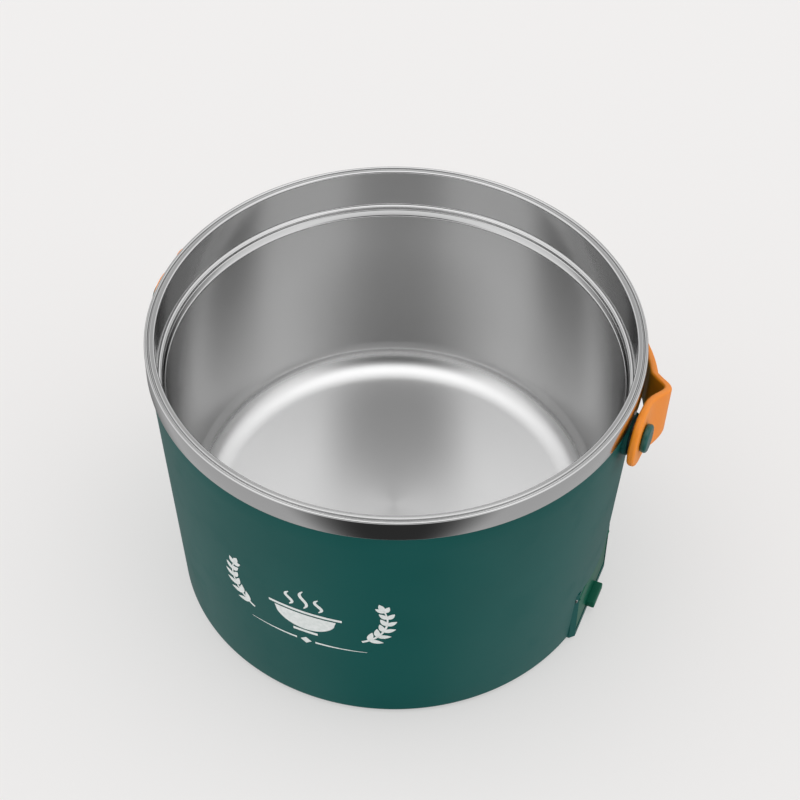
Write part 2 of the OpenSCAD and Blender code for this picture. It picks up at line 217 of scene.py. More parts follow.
class MaterialBench(Bench):
    """The node tree of one material round a Principled shader."""

    def __init__(self, name: str) -> None:
        """Makes the material with its output and its shader."""
        self.material = bpy.data.materials.new(name)
        self.material.use_nodes = True
        super().__init__(self.material.node_tree)
        self.shader = self.node("ShaderNodeBsdfPrincipled")
        self.node("ShaderNodeOutputMaterial", None, {0: self.shader.outputs[0]})

    def place(self) -> bpy.types.NodeSocket:
        """The object's own coordinates."""
        return self.node("ShaderNodeTexCoord").outputs["Object"]

    def noise(self, scale: float, detail: float, at: bpy.types.NodeSocket | None = None) -> Signal:
        """A soft noise over the object, or along other coordinates."""
        vector = at or self.place()
        inputs = {"Vector": vector, "Scale": scale, "Detail": detail, "Roughness": 0.55}
        return self.value("ShaderNodeTexNoise", None, inputs)

    def axes(self) -> tuple[Signal, Signal, Signal]:
        """The three object coordinates as signals."""
        split = self.node("ShaderNodeSeparateXYZ", None, {0: self.place()}).outputs
        return Signal(self, split[0]), Signal(self, split[1]), Signal(self, split[2])

    def radius(self) -> Signal:
        """Distance from the pot's vertical axis."""
        x, y, _ = self.axes()
        return (x * x + y * y) ** 0.5

    def blend(self, share: Signal, low: Colour, high: Colour) -> bpy.types.NodeSocket:
        """Mixes two colours by a signal."""
        mix = self.node("ShaderNodeMix", {"data_type": "RGBA"}, {0: share})
        self.feed(mix.inputs[6], low)
        self.feed(mix.inputs[7], high)
        return mix.outputs[2]

    def bump(self, height: Signal, strength: float, distance: float) -> bpy.types.NodeSocket:
        """A bump normal from a height signal."""
        inputs = {"Strength": strength, "Distance": distance, "Height": height}
        return self.node("ShaderNodeBump", None, inputs).outputs[0]

    def dress(self, **sockets: object) -> bpy.types.Material:
        """Sets the Principled shader's sockets; an underscore stands for a space."""
        for key, value in sockets.items():
            self.feed(self.shader.inputs[key.replace("_", " ")], value)
        return self.material


# ---------------------------------------------------------------- finishes


@dataclass(frozen=True)
class MouldedPlastic:
    """Moulded plastic with a fine satin texture."""

    name: str
    low: Colour
    high: Colour
    rough: float = 0.42
    grain: float = 0.06
    subsurface: float = 0.0
    gloss: float = 0.5
    cloud_scale: float = 14.0
    grain_scale: float = 1900.0
    scuff_scale: float = 60.0
    scuff: float = 0.06

    def make(self) -> bpy.types.Material:
        """Builds the material."""
        bench = MaterialBench(self.name)
        cloud = bench.noise(self.cloud_scale, 2.0).stretch(0.35, 0.65, 0.0, 1.0)
        fine = bench.noise(self.grain_scale, 2.0)
        scuffs = bench.noise(self.scuff_scale, 5.0).stretch(0.45, 0.75, 0.0, 1.0)
        return bench.dress(
            Base_Color=bench.blend(cloud, self.low, self.high),
            Roughness=scuffs * self.scuff + self.rough,
            Normal=bench.bump(fine, self.grain, 0.0002),
            Specular_IOR_Level=self.gloss,
            Subsurface_Weight=self.subsurface,
            Subsurface_Radius=(0.004, 0.002, 0.001),
        )


@dataclass(frozen=True)
class SpunSteel:
    """Stainless steel spun round the pot's axis: satin floor, smoother wall, polished collar and rim. Its
    colour is painted lighter on the floor and darker up the wall: painted light and painted shade.

    The three spans are heights in metres over which one look gives way to the next.
    """

    name: str = "spun_steel"
    # painted light and shade: the floor's tone is lighter and the wall's tone darker than one steel would
    # be; the tone span is the height over which the floor's tone gives way to the wall's
    floor_tone: Colour = (0.86, 0.86, 0.86)
    wall_shaded_tone: Colour = (0.57, 0.57, 0.57)
    floor_rough: float = 0.38
    wall_rough: float = 0.16
    rim_rough: float = 0.12
    anisotropy: float = 0.3
    ring_pitch: float = 0.0005
    cloud_scale: float = 18.0
    band_scale: float = 60.0
    mottle: float = 0.16
    painted_shade_span: Span = (0.019, 0.031)
    wall_span: Span = (0.020, 0.029)
    rim_span: Span = (0.086, 0.092)

    def make(self) -> bpy.types.Material:
        """Builds the material."""
        bench = MaterialBench(self.name)
        _, _, height = bench.axes()
        path = bench.node("ShaderNodeCombineXYZ", None, {0: bench.radius(), 1: height}).outputs[0]
        rings = bench.noise(1.0 / self.ring_pitch, 3.0, path)
        bands = bench.noise(self.band_scale, 2.0, path)
        cloud = bench.noise(self.cloud_scale, 2.0)
        polish = height.stretch(*self.wall_span, self.floor_rough, self.wall_rough)
        polish = polish + height.stretch(*self.rim_span, 0.0, self.rim_rough - self.wall_rough)
        # painted shade: the colour darkens from the floor's tone to the wall's tone up the tone span; the
        # rings and cloud add random mottle
        wall = height.stretch(*self.painted_shade_span, 0.0, 0.92) + (rings * 0.4 + cloud * 0.6) * self.mottle
        return bench.dress(
            Base_Color=bench.blend(wall - self.mottle / 4, self.floor_tone, self.wall_shaded_tone),
            Metallic=1.0,
            Roughness=bands * 0.05 + rings * 0.03 + (polish - 0.04),
            Anisotropic=self.anisotropy,
            Normal=bench.bump(rings, 0.012, 0.0001),
        )


@dataclass(frozen=True)
class PlainMetal:
    """Plated, cast or rolled metal of small parts."""

    name: str
    tone: Colour
    rough: float = 0.35
    grain: float = 0.2

    def make(self) -> bpy.types.Material:
        """Builds the material."""
        bench = MaterialBench(self.name)
        spots = bench.noise(320.0, 4.0)
        dark = tuple(0.85 * c for c in self.tone)
        return bench.dress(
            Base_Color=bench.blend(spots.stretch(0.35, 0.65, 0.0, 1.0), dark, self.tone),
            Metallic=1.0,
            Roughness=spots * 0.16 + (self.rough - 0.08),
            Normal=bench.bump(spots, self.grain, 0.0003),
        )


@dataclass(frozen=True)
class MattStuff:
    """Rubber, felt, glaze or print: a plain surface with its own grain."""

    name: str
    low: Colour
    high: Colour
    rough: float
    grain: float
    scale: float
    sheen: float = 0.0

    def make(self) -> bpy.types.Material:
        """Builds the material."""
        bench = MaterialBench(self.name)
        fibres = bench.noise(self.scale, 5.0)
        return bench.dress(
            Base_Color=bench.blend(fibres.stretch(0.3, 0.7, 0.0, 1.0), self.low, self.high),
            Roughness=fibres * 0.1 + (self.rough - 0.05),
            Normal=bench.bump(fibres, self.grain, 0.0004),
            Sheen_Weight=self.sheen,
        )


@dataclass
class Paintshop:
    """Every finish of the object, made once."""

    shell: bpy.types.Material = field(init=False)
    strap: bpy.types.Material = field(init=False)
    pin: bpy.types.Material = field(init=False)
    flap: bpy.types.Material = field(init=False)
    steel: bpy.types.Material = field(init=False)
    black: bpy.types.Material = field(init=False)
    rubber: bpy.types.Material = field(init=False)
    plated: bpy.types.Material = field(init=False)
    alloy: bpy.types.Material = field(init=False)
    brass: bpy.types.Material = field(init=False)
    glaze: bpy.types.Material = field(init=False)
    felt: bpy.types.Material = field(init=False)
    ink: bpy.types.Material = field(init=False)
    red: bpy.types.Material = field(init=False)
    blue: bpy.types.Material = field(init=False)
    lime: bpy.types.Material = field(init=False)

    def __post_init__(self) -> None:
        """Makes the materials."""

        def plastic(name: str, low: Colour, high: Colour, **more: float) -> bpy.types.Material:
            """A moulded plastic between two display colours."""
            return MouldedPlastic(name, linear(*low), linear(*high), **more).make()

        def matt(name: str, low: Colour, high: Colour, *more: float) -> bpy.types.Material:
            """A matt stuff between two display colours."""
            return MattStuff(name, linear(*low), linear(*high), *more).make()

        self.shell = plastic("teal_plastic", (13, 84, 80), (17, 88, 84), rough=0.40, gloss=0.14)
        self.strap = plastic("orange_plastic", (249, 142, 14), (253, 151, 24), subsurface=0.12)
        self.pin = plastic("pin_plastic", (16, 84, 80), (22, 92, 86), rough=0.26)
        self.flap = plastic("flap_plastic", (14, 88, 68), (18, 96, 74), rough=0.38, gloss=0.14)
        self.steel = SpunSteel().make()
        self.black = plastic("black_plastic", (22, 22, 24), (34, 34, 36), grain=0.2)
        self.rubber = matt("rubber", (24, 24, 24), (36, 36, 35), 0.75, 0.3, 900.0)
        self.plated = PlainMetal("plated_steel", linear(196, 196, 194)).make()
        self.alloy = PlainMetal("cast_alloy", linear(208, 209, 211), rough=0.5, grain=0.5).make()
        self.brass = PlainMetal("brass", linear(214, 182, 108), rough=0.28).make()
        self.glaze = matt("glaze", (236, 232, 222), (244, 241, 234), 0.25, 0.05, 200.0)
        self.felt = matt("felt", (214, 211, 202), (232, 229, 222), 0.95, 1.0, 1400.0, 0.3)
        self.ink = matt("white_print", (226, 232, 230), (240, 244, 243), 0.5, 0.1, 700.0)
        self.red = plastic("red_sheath", (150, 22, 18), (170, 28, 22))
        self.blue = plastic("blue_sheath", (20, 52, 130), (26, 62, 148))
        self.lime = plastic("green_yellow_sheath", (140, 160, 30), (160, 178, 44))


# ---------------------------------------------------------------- modelling


class Workpiece:
    """A mesh on the bench, in metres, with the operators that shape it."""

    def __init__(self) -> None:
        """Starts with an empty mesh."""
        self.bm = bmesh.new()

    def lathe(self, profile: Iterable[Point], steps: int) -> "Workpiece":
        """Spins an open profile of radius and height, in millimetres, round the Z axis."""
        verts = [self.bm.verts.new((r * MM, 0.0, z * MM)) for r, z in profile]
        edges = [self.bm.edges.new(pair) for pair in zip(verts, verts[1:])]
        bmesh.ops.spin(
            self.bm, geom=verts + edges, cent=(0, 0, 0), axis=(0, 0, 1), dvec=(0, 0, 0),
            angle=math.tau, steps=steps, use_merge=True,
        )
        bmesh.ops.remove_doubles(self.bm, verts=self.bm.verts, dist=MERGE)
        bmesh.ops.dissolve_degenerate(self.bm, edges=self.bm.edges, dist=SLIVER)
        bmesh.ops.recalc_face_normals(self.bm, faces=self.bm.faces)
        return self

    def box(self, low: Sequence[float], high: Sequence[float], rounding: float) -> None:
        """Adds a box between two corners, with rounded edges, in millimetres."""
        made = bmesh.ops.create_cube(self.bm, size=1.0)["verts"]
        size = [(h - l) * MM for l, h in zip(low, high)]
        centre = [(h + l) / 2 * MM for l, h in zip(low, high)]
        bmesh.ops.scale(self.bm, vec=size, verts=made)
        bmesh.ops.translate(self.bm, vec=centre, verts=made)
        edges = list(dict.fromkeys(e for v in made for e in v.link_edges))
        bmesh.ops.bevel(
            self.bm, geom=edges, offset=rounding * MM, offset_type="OFFSET", segments=BEVEL_STEPS,
            profile=0.5, affect="EDGES", clamp_overlap=True, material=-1,
        )

    def patch(self, across: int, along: int, place: Placer) -> None:
        """Adds a grid and puts each vertex where a function of two shares says, in metres."""
        made = bmesh.ops.create_grid(self.bm, x_segments=along, y_segments=across, size=0.5)["verts"]
        for vert in made:
            vert.co = place(vert.co.x + 0.5, vert.co.y + 0.5)

    def move(self, matrix: Matrix) -> None:
        """Moves the whole mesh."""
        bmesh.ops.transform(self.bm, matrix=matrix, verts=self.bm.verts)

    def done(
        self, name: str, body: str, material: bpy.types.Material, slot: str,
        replaces: Sequence[str] = (), crease: float = 35.0,
    ) -> None:
        """Turns the mesh into a finished piece that rides on a body.

        Args:
            name: The piece's name.
            body: The body that it moves with.
            material: Its finish.
            slot: The name of a material slot; it is not used.
            replaces: The nodes that it stands for.
            crease: Faces that meet at more than this angle, in degrees, keep a sharp edge.
        """
        mesh = bpy.data.meshes.new(name)
        self.bm.to_mesh(mesh)
        self.bm.free()
        for polygon in mesh.polygons:
            polygon.use_smooth = True
        mesh.set_sharp_from_angle(angle=math.radians(crease))
        mesh.materials.append(material)
        piece = bpy.data.objects.new(name, mesh)
        bpy.context.scene.collection.objects.link(piece)
        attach(piece, body)
        if replaces:
            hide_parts(*replaces)
        LOG.info("%s: %d faces on %s", name, len(mesh.polygons), body)


# ---------------------------------------------------------------- sub-assemblies


@dataclass
class SteelPot:
    """The drawn pot with its shoulder, straight collar and rolled rim."""

    rim_r: float = 80.0
    rim_top: float = 106.0
    skirt_z: float = 98.2
    collar_r: float = 76.6
    collar_z: float = 92.2
    wall_top_r: float = 74.2
    wall_top_z: float = 86.4
    wall_floor_r: float = 69.6
    floor_z: float = 20.0
    corner_r: float = 11.0
    sheet: float = 0.6
    bead: float = 0.8
    outer_round: float = 0.55
    outer_drop: float = 0.15
    rim_under: float = 2.6
    skirt_t: float = 0.8
    turns: int = 256

    def wall_r(self, z: float) -> float:
        """Inside radius of the wall at a height."""
        slope = (self.wall_top_r - self.wall_floor_r) / (self.wall_top_z - self.floor_z)
        return self.wall_floor_r + slope * (z - self.floor_z)

    def profile(self) -> list[Point]:
        """The sheet's outline, from the axis under the floor out round the rim to the axis on top."""
        skin, hem_r = self.sheet, self.skirt_t / 2
        corner_z = self.floor_z + self.corner_r
        corner_x = self.wall_r(corner_z) - self.corner_r
        under = self.rim_top - self.rim_under
        below = [(0.0, self.floor_z - skin), (corner_x, self.floor_z - skin)]
        below += arc((corner_x, corner_z), self.corner_r + skin, -84, -6, 16)
        shoulder = [
            (self.wall_top_r + skin - 0.1, self.wall_top_z - 1.8),
            (self.wall_top_r + skin + 0.2, self.wall_top_z - 0.5),
            (self.collar_r + skin - 0.3, self.collar_z - 2.0),
            (self.collar_r + skin, self.collar_z - 0.8),
            (self.collar_r + skin, under),
            (self.rim_r - self.skirt_t, under),
            (self.rim_r - self.skirt_t, self.skirt_z + 0.2),
        ]
        hem = arc((self.rim_r - hem_r, self.skirt_z + hem_r), hem_r, 180, 360, 6)
        crown_z = self.rim_top - self.outer_drop - self.outer_round
        crown = arc((self.rim_r - self.outer_round, crown_z), self.outer_round, 0, 160, 12)
        groove = arc((self.rim_r - 1.35, self.rim_top - 0.68), 0.3, -10, -170, 8)
        land = arc((self.rim_r - 2.0, self.rim_top - 0.45), 0.4, 20, 90, 5)
        inner_bead = arc((self.collar_r + self.bead, self.rim_top - self.bead), self.bead, 80, 180, 12)
        ledges = arc((self.collar_r - 0.9, self.collar_z - 0.1), 0.9, 0, -70, 6)
        ledges += arc((self.collar_r - 0.75, self.collar_z - 1.45), 0.45, 80, 175, 7)
        ledges += arc((self.collar_r - 2.1, self.collar_z - 1.7), 0.9, 0, -52, 5)
        fillet = arc((self.wall_top_r + 0.95, self.wall_top_z + 1.0), 0.9, 122, 184, 7)
        corner = arc((corner_x, corner_z), self.corner_r, -4, -86, 18)
        inside = [(corner_x, self.floor_z), (corner_x * 0.5, self.floor_z), (0.0, self.floor_z)]
        outside = below + shoulder + hem
        return outside + crown + groove + land + inner_bead + ledges + fillet + corner + inside

    def build(self, paint: Paintshop) -> None:
        """Makes the pot."""
        pot = Workpiece().lathe(self.profile(), self.turns)
        pot.done("steel_pot", "root", paint.steel, "pot_steel", ["inner_pot"], crease=50)


@dataclass
class Shell:
    """The tapered plastic shell with its lip, pin bosses and inlet notch."""

    base_r: float = 73.4
    lip_r: float = 79.2
    lip_z: float = 97.9
    edge_z: float = 1.0
    wall: float = 1.8
    edge_round: float = 1.5
    lip_round: float = 0.5
    pivot_z: float = 90.0
    boss_x: float = 80.0
    boss_r: float = 7.0
    boss_sink: float = 0.6
    boss_round: float = 0.4
    notch_half: float = 18.1
    notch_top: float = 24.3
    turns: int = 256

    def radius(self, z: float) -> float:
        """Outer radius at a height."""
        return self.base_r + (self.lip_r - self.base_r) * z / self.lip_z

    def skin(self) -> list[Point]:
        """The outer line of the shell from the lower edge to the top of the lip."""
        low = self.edge_z + self.edge_round
        line = arc((self.radius(low) - self.edge_round, low), self.edge_round, -88, 0, 8)
        line += [(self.radius(z), z) for z in (10.0, self.notch_top, 45.0, 70.0, 90.0)]
        top = self.lip_z - self.lip_round
        line += arc((self.lip_r - self.lip_round, top), self.lip_round, 0, 90, 5)
        return line

    def cut_notch(self, piece: Workpiece) -> None:
        """Opens the shell where the inlet's frame stands."""
        bm = piece.bm
        planes = [
            ((0, self.notch_half * MM, 0), (0, 1, 0)),
            ((0, -self.notch_half * MM, 0), (0, 1, 0)),
            ((0, 0, self.notch_top * MM), (0, 0, 1)),
        ]
        for point, normal in planes:
            near = [f for f in bm.faces if f.calc_center_median().x > 0.5 * self.base_r * MM]
            geom = list(dict.fromkeys(v for f in near for v in f.verts))
            geom += list(dict.fromkeys(e for f in near for e in f.edges)) + near
            bmesh.ops.bisect_plane(bm, geom=geom, plane_co=point, plane_no=normal, dist=MERGE)
        gone = []
        for face in bm.faces:
            centre = face.calc_center_median()
            inside = abs(centre.y) < self.notch_half * MM and centre.z < self.notch_top * MM
            if inside and centre.x > 0:
                gone.append(face)
        bmesh.ops.delete(bm, geom=gone, context="FACES")

    def build(self, paint: Paintshop) -> None:
        """Makes the shell and its two bosses."""
        shell = Workpiece().lathe(self.skin(), self.turns)
        self.cut_notch(shell)
        side_face = next(f for f in shell.bm.faces if abs(f.normal.z) < 0.3)
        if side_face.normal.dot(side_face.calc_center_median()) < 0:
            bmesh.ops.reverse_faces(shell.bm, faces=shell.bm.faces)
        bmesh.ops.solidify(shell.bm, geom=shell.bm.faces, thickness=self.wall * MM)
        shell.done("shell", "root", paint.shell, "shell_plastic", ["outer_shell"])
        for side in Side:
            self.boss(side, paint)

    def boss(self, side: Side, paint: Paintshop) -> None:
        """Makes the round pad that one of the strap's pins goes into."""
        inner, bend = self.radius(self.pivot_z) - self.boss_sink, self.boss_round
        outline = [(0, inner), (self.boss_r, inner)]
        outline += arc((self.boss_r - bend, self.boss_x - bend), bend, 0, 90, 4) + [(0, self.boss_x)]
        boss = Workpiece().lathe(outline, 48)
        boss.move(pin_axis(side, self.pivot_z))
        boss.done(f"pin_boss_{side.name.lower()}", "root", paint.shell, "shell_plastic")


@dataclass
class Strap:
    """The carrying strap, folded back behind the pot, and its two pins."""

    pivot_z: float = 90.0
    thickness: float = 2.6
    ear_w: float = 19.6
    arch_w: float = 15.0
    ear_x: float = 80.9
    arch_r: float = 82.0
    arch_start: float = 19.0
    bulge: float = 3.0
    jog_y: float = 5.0
    crest_y: float = 18.5
    crest_r: float = 5.7
    crest_turn: float = 45.0
    droop: float = 14.0
    edge: float = 0.95
    head_r: float = 4.7
    head_t: float = 2.0
    head_gap: float = 0.3
    shank_r: float = 2.5
    shank_x: float = 77.5
    levels: tuple[float, ...] = (0.0, 0.03, 0.12, 0.26, 0.46, 0.70, 0.95)
    ear_rows: tuple[float, ...] = (1.6, 2.8, 4.4, 6.4, 8.6, 11.0, 13.0)

    def middle_line(self) -> list[Point]:
        """The middle of the strap's thickness from above, from the right tip round to the left one."""
        half = self.thickness / 2
        ear = self.ear_x + half
        tip = self.ear_w / 2
        side = [(ear, y - tip) for y in (0.008, *self.levels[1:], *self.ear_rows)]
        reach = self.crest_y - self.jog_y
        jog = [(ear + self.bulge * smooth_step(i / 10), self.jog_y + reach * i / 10) for i in range(10)]
        crest = (ear + self.bulge - self.crest_r, self.crest_y)
        crown = arc(crest, self.crest_r, 0, self.crest_turn, 8)
        arch = arc((0, 0), self.arch_r + half, self.arch_start, 180 - self.arch_start, 96)
        run = straight(crown[-1], arch[0], 5)[1:-1]
        right = side + jog + crown + run
        left = [(-x, y) for x, y in reversed(right)]
        return right + arch + left

    def half_width(self, y: float) -> float:
        """Half of the strap's width at a distance behind the turning axis."""
        if y < 0:
            return math.sqrt(max((self.ear_w / 2) ** 2 - y * y, 0.0))
        narrow = smooth_step((y - self.jog_y - 3) / 18)
        return (self.ear_w + (self.arch_w - self.ear_w) * narrow) / 2

    def half_thickness(self, inside: float) -> float:
        """Half of the strap's thickness at a distance inside its outline."""
        short = self.edge - min(max(inside, 0.0), self.edge)
        return self.thickness / 2 - self.edge + math.sqrt(self.edge**2 - short**2)

    def strap(self, paint: Paintshop) -> None:
        """Makes the strap as two skins that meet in a rounded edge."""
        line = self.middle_line()
        last = len(line) - 1
        fine = len(self.levels)
        rows = fine * 2 + 3
        droop = math.radians(self.droop)

        def skin(sign: int) -> Placer:
            """The place of a point of the outer skin, or of the inner one where the sign is negative."""

            def place(along: float, across: float) -> Vector:
                """One point of the skin, whose rows lie close together at the rounded edge."""
                index = min(round(along * last), last)
                x, y = line[index]
                run = direction(line, index)
                half = self.half_width(y)
                row = round(across * rows)
                rank = min(row, rows - row)
                middle = half / 2 + half / 4 * (rank - fine)
                depth = min(self.levels[rank], half / 2) if rank < fine else middle
                height = (half - depth) * (-1 if row < rows - row else 1)
                inside = self.ear_w / 2 - math.hypot(y, height) if y < 0 else half - abs(height)
                out = sign * self.half_thickness(inside)
                px, py = x + run.y * out, y - run.x * out
                back = py * math.cos(droop) + height * math.sin(droop)
                up = self.pivot_z - py * math.sin(droop) + height * math.cos(droop)
                return Vector((px, back, up)) * MM

            return place

        band = Workpiece()
        for sign in (1, -1):
            band.patch(rows, last, skin(sign))
        rims = [e for e in band.bm.edges if e.is_boundary]
        bmesh.ops.bridge_loops(band.bm, edges=rims)
        bmesh.ops.recalc_face_normals(band.bm, faces=band.bm.faces)
        band.done("carrying_strap", "strap", paint.strap, "strap_plastic", ["strap_handle"], crease=70)

    def pin(self, side: Side, paint: Paintshop) -> None:
        """Makes one pin with a domed head."""
        face = self.ear_x + self.thickness + self.head_gap
        top = face + self.head_t
        outline = [(0, self.shank_x), (self.shank_r, self.shank_x), (self.shank_r, face)]
        outline += arc((self.head_r - 0.3, face + 0.3), 0.3, -90, 0, 4)
        outline += arc((self.head_r - 0.9, top - 0.95), 0.9, 0, 78, 8)
        outline += [(self.head_r * 0.45, top - 0.02), (0, top)]
        pin = Workpiece().lathe(outline, 64)
        pin.move(pin_axis(side, self.pivot_z))
        name = side.name.lower()
        pin.done(f"strap_pin_{name}", "root", paint.pin, "pin_plastic", [f"pivot_pin_{name}"], crease=50)

    def build(self, paint: Paintshop) -> None:
        """Makes the strap and both pins."""
        self.strap(paint)
        for side in Side:
            self.pin(side, paint)


@dataclass
class InletFlap:
    """The flap that covers the socket low on the right side."""

    window_w: float = 32.4
    window_z: float = 3.6
    face_x: float = 73.2
    flap_t: float = 1.8
    hinge_z: float = 21.0
    knuckle_r: float = 1.4
    tab_w: float = 9.8
    tab_x: float = 76.2
    tab_h: float = 2.8
    tab_sink: float = 0.6
    tab_round: float = 0.5
    edge_round: float = 0.3
    gap: float = 0.3

    def build(self, paint: Paintshop) -> None:
        """Makes the flap, its knuckle and the pull tab."""
        half = self.window_w / 2 - self.gap
        low = self.window_z + self.gap
        back, mid = self.face_x - self.flap_t, self.tab_w / 2
        flap = Workpiece()
        flap.box((back, -half, low), (self.face_x, half, self.hinge_z), self.edge_round)
        knuckle = bmesh.ops.create_cone(
            flap.bm, cap_ends=True, segments=32, radius1=self.knuckle_r * MM, radius2=self.knuckle_r * MM,
            depth=2 * half * MM,
        )["verts"]
        axis = Matrix.Translation(((self.face_x - self.flap_t / 2) * MM, 0, self.hinge_z * MM))
        bmesh.ops.transform(flap.bm, matrix=axis @ Matrix.Rotation(math.pi / 2, 4, "X"), verts=knuckle)
        root = self.face_x - self.tab_sink
        flap.box((root, -mid, low), (self.tab_x, mid, low + self.tab_h), self.tab_round)
        flap.done("inlet_cover", "flap", paint.flap, "flap_plastic", ["inlet_flap"])


@dataclass
class FrontPrint:
    """A plain white emblem on the front: a steaming bowl between two sprigs over a fine rule."""

    shell: Shell
    centre_z: float = 50.0
    facing: float = -90.0
    lift: float = 0.05
    skin: float = 0.04
    bowl_half: float = 10.5
    bowl_depth: float = 8.0
    brim_half: float = 12.5
    brim_z: float = 1.3
    foot_half: float = 4.2
    foot_z: float = -9.2
    wisps: tuple[Point, ...] = ((-5.0, 6.5), (0.0, 9.0), (5.0, 6.5))
    wisp_z: float = 3.6
    wisp_sway: float = 1.1
    stem_centre: Point = (13.0, 4.5)
    stem_r: float = 14.0
    leaf_pairs: int = 6
    leaf_turn: float = 42.0
    leaf_length: float = 5.0
    rule_z: float = -14.2
    rule_start: float = 3.2
    rule_end: float = 20.2
    gem_half: float = 1.9

    def wrap(self, u: float, v: float) -> Vector:
        """Puts a flat point of the emblem, in millimetres, onto the shell."""
        z = self.centre_z + v
        radius = self.shell.radius(z) + self.lift + self.skin
        angle = math.radians(self.facing) + u / radius
        return Vector((radius * math.cos(angle), radius * math.sin(angle), z)) * MM

    def stroke(self, work: Workpiece, line: list[Point], width: Width) -> None:
        """Draws a stroke along a line with a width that follows its length.

        Args:
            work: The mesh that it goes into.
            line: Points of the stroke's middle, in millimetres.
            width: Full width as a function of the share of the length.
        """
        last = len(line) - 1

        def place(along: float, across: float) -> Vector:
            """One point of the stroke."""
            index = min(round(along * last), last)
            run = direction(line, index)
            side = (across - 0.5) * width(index / last)
            return self.wrap(line[index][0] - run.y * side, line[index][1] + run.x * side)

        work.patch(2, last, place)

    def bowl(self, work: Workpiece) -> None:
        """The bowl, its brim and foot, and the wisps of steam."""

        def body(along: float, across: float) -> Vector:
            """One point of the bowl's half disc."""
            share = 2 * along - 1
            low = -self.bowl_depth * math.sqrt(max(1 - share**2, 0.0))
            return self.wrap(share * self.bowl_half, low * across)

        work.patch(6, 28, body)
        brim = straight((-self.brim_half, self.brim_z), (self.brim_half, self.brim_z), 30)
        foot = straight((-self.foot_half, self.foot_z), (self.foot_half, self.foot_z), 12)
        self.stroke(work, brim, lambda t: 1.1)
        self.stroke(work, foot, lambda t: 1.2)
        for centre, height in self.wisps:
            middle = straight((centre, self.wisp_z), (centre, self.wisp_z + height), 18)
            sway = [self.wisp_sway * math.sin(math.tau * i / 18) for i in range(19)]
            wisp = [(x + dx, y) for (x, y), dx in zip(middle, sway)]
            self.stroke(work, wisp, lambda t: 0.35 + math.sin(math.pi * t))

    def sprig(self, work: Workpiece, side: Side) -> None:
        """A curved stem with pairs of leaves and a leaf at its tip, on one side of the bowl."""
        stem = [(side.value * x, y) for x, y in arc(self.stem_centre, self.stem_r, -66, 24, 36)]
        self.stroke(work, stem, lambda t: 0.9 - 0.4 * t)
        turns = (-self.leaf_turn, self.leaf_turn)
        leaves = [(4 + 6 * pair, turn) for pair in range(self.leaf_pairs) for turn in turns]
        for spot, turn in [*leaves, (len(stem) - 1, 0.0)]:
            root, before = stem[spot], stem[spot - 1]
            angle = math.atan2(root[1] - before[1], root[0] - before[0]) + math.radians(turn)
            length = self.leaf_length - 0.045 * spot
            tip = (root[0] + math.cos(angle) * length, root[1] + math.sin(angle) * length)
            leaf = straight(root, tip, 12)
            self.stroke(work, leaf, lambda t: 1.9 * math.sin(math.pi * t**0.8) ** 0.9 + 0.04)

    def rule(self, work: Workpiece) -> None:
        """Two fine lines with a small diamond between them."""
        z = self.rule_z
        for side in (-1, 1):
            line = straight((side * self.rule_start, z), (side * self.rule_end, z), 20)
            self.stroke(work, line, lambda t: 0.7 * (1 - t) + 0.15)
        gem = straight((-self.gem_half, z), (self.gem_half, z), 8)
        self.stroke(work, gem, lambda t: 3.2 * (1 - abs(2 * t - 1)) + 0.02)

    def build(self, paint: Paintshop) -> None:
        """Makes the whole emblem as one thin piece."""
        work = Workpiece()
        self.bowl(work)
        for side in Side:
            self.sprig(work, side)
        self.rule(work)
        for face in work.bm.faces:
            face.normal_update()
            centre = face.calc_center_median()
            if face.normal.dot(Vector((centre.x, centre.y, 0))) < 0:
                face.normal_flip()
        bmesh.ops.solidify(work.bm, geom=work.bm.faces, thickness=self.skin * MM)
        work.done("front_print", "root", paint.ink, "ceramic")


def dress_the_rest(nodes: dict[str, bpy.types.Object], paint: Paintshop) -> None:
    """Gives the nodes that keep their own shape their finish."""
    finishes = (
        (paint.shell, ("inlet_bezel",)),
        (paint.black, ("pivot_washer_right", "pivot_washer_left", "power_inlet", "base_cover")),
        (paint.rubber, ("rim_seal", "foot_front", "foot_rear", "foot_right", "foot_left", "foot_middle")),
        (paint.felt, ("insulation_sleeve",)),
        (paint.alloy, ("heater_plate", "heat_shield")),
        (paint.plated, ("heating_ring", "thermostat_bracket", "plate_studs", "bracket_nuts")),
        (paint.plated, ("shield_nuts", "flap_hinge_pin", "base_screws")),
        (paint.glaze, ("thermostat",)),
        (paint.brass, ("thermal_fuse", "socket_pins")),
        (paint.red, ("wire_live", "wire_link", "wire_return")),
        (paint.blue, ("wire_neutral",)),
        (paint.lime, ("wire_earth",)),
    )
    for material, names in finishes:
        for name in names:
            nodes[name].data.materials.clear()
            nodes[name].data.materials.append(material)
        LOG.info("%s: %s", material.name, ", ".join(names))


# ---------------------------------------------------------------- studio


